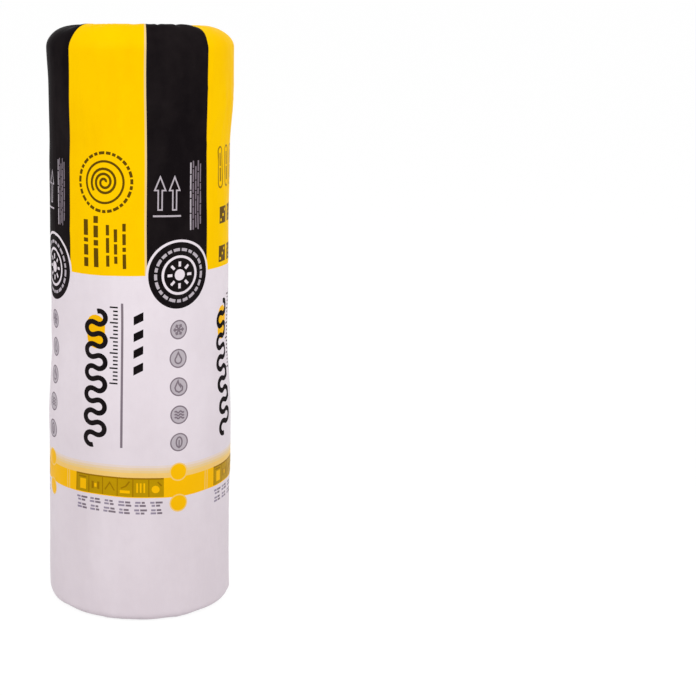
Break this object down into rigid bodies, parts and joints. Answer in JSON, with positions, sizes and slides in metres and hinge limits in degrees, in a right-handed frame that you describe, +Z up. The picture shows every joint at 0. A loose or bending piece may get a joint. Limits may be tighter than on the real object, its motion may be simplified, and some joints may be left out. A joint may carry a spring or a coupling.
{
  "type": "insulation roll",
  "caption": "Roll of mineral wool insulation wound tight on its own eye and held in striped, printed film, standing on its end.",
  "frame": {"origin": "centre of the roll's base, on the floor that it stands on", "axes": "+Z up along the roll's axis, -Y towards the viewer, +X to the viewer's right; the film's lap is at +Y"},
  "size_m": [0.384, 0.3846, 1.2],
  "materials": {
    "film": "satin polyethylene film, white with a lilac cast, printed in yellow, black and grey",
    "wool": "matt, loose mineral fibre, salmon brown with paler and darker flecks"
  },
  "bodies": {
    "root": {"film_wrapper": "film", "wool_roll": "wool"}
  },
  "joints": []
}
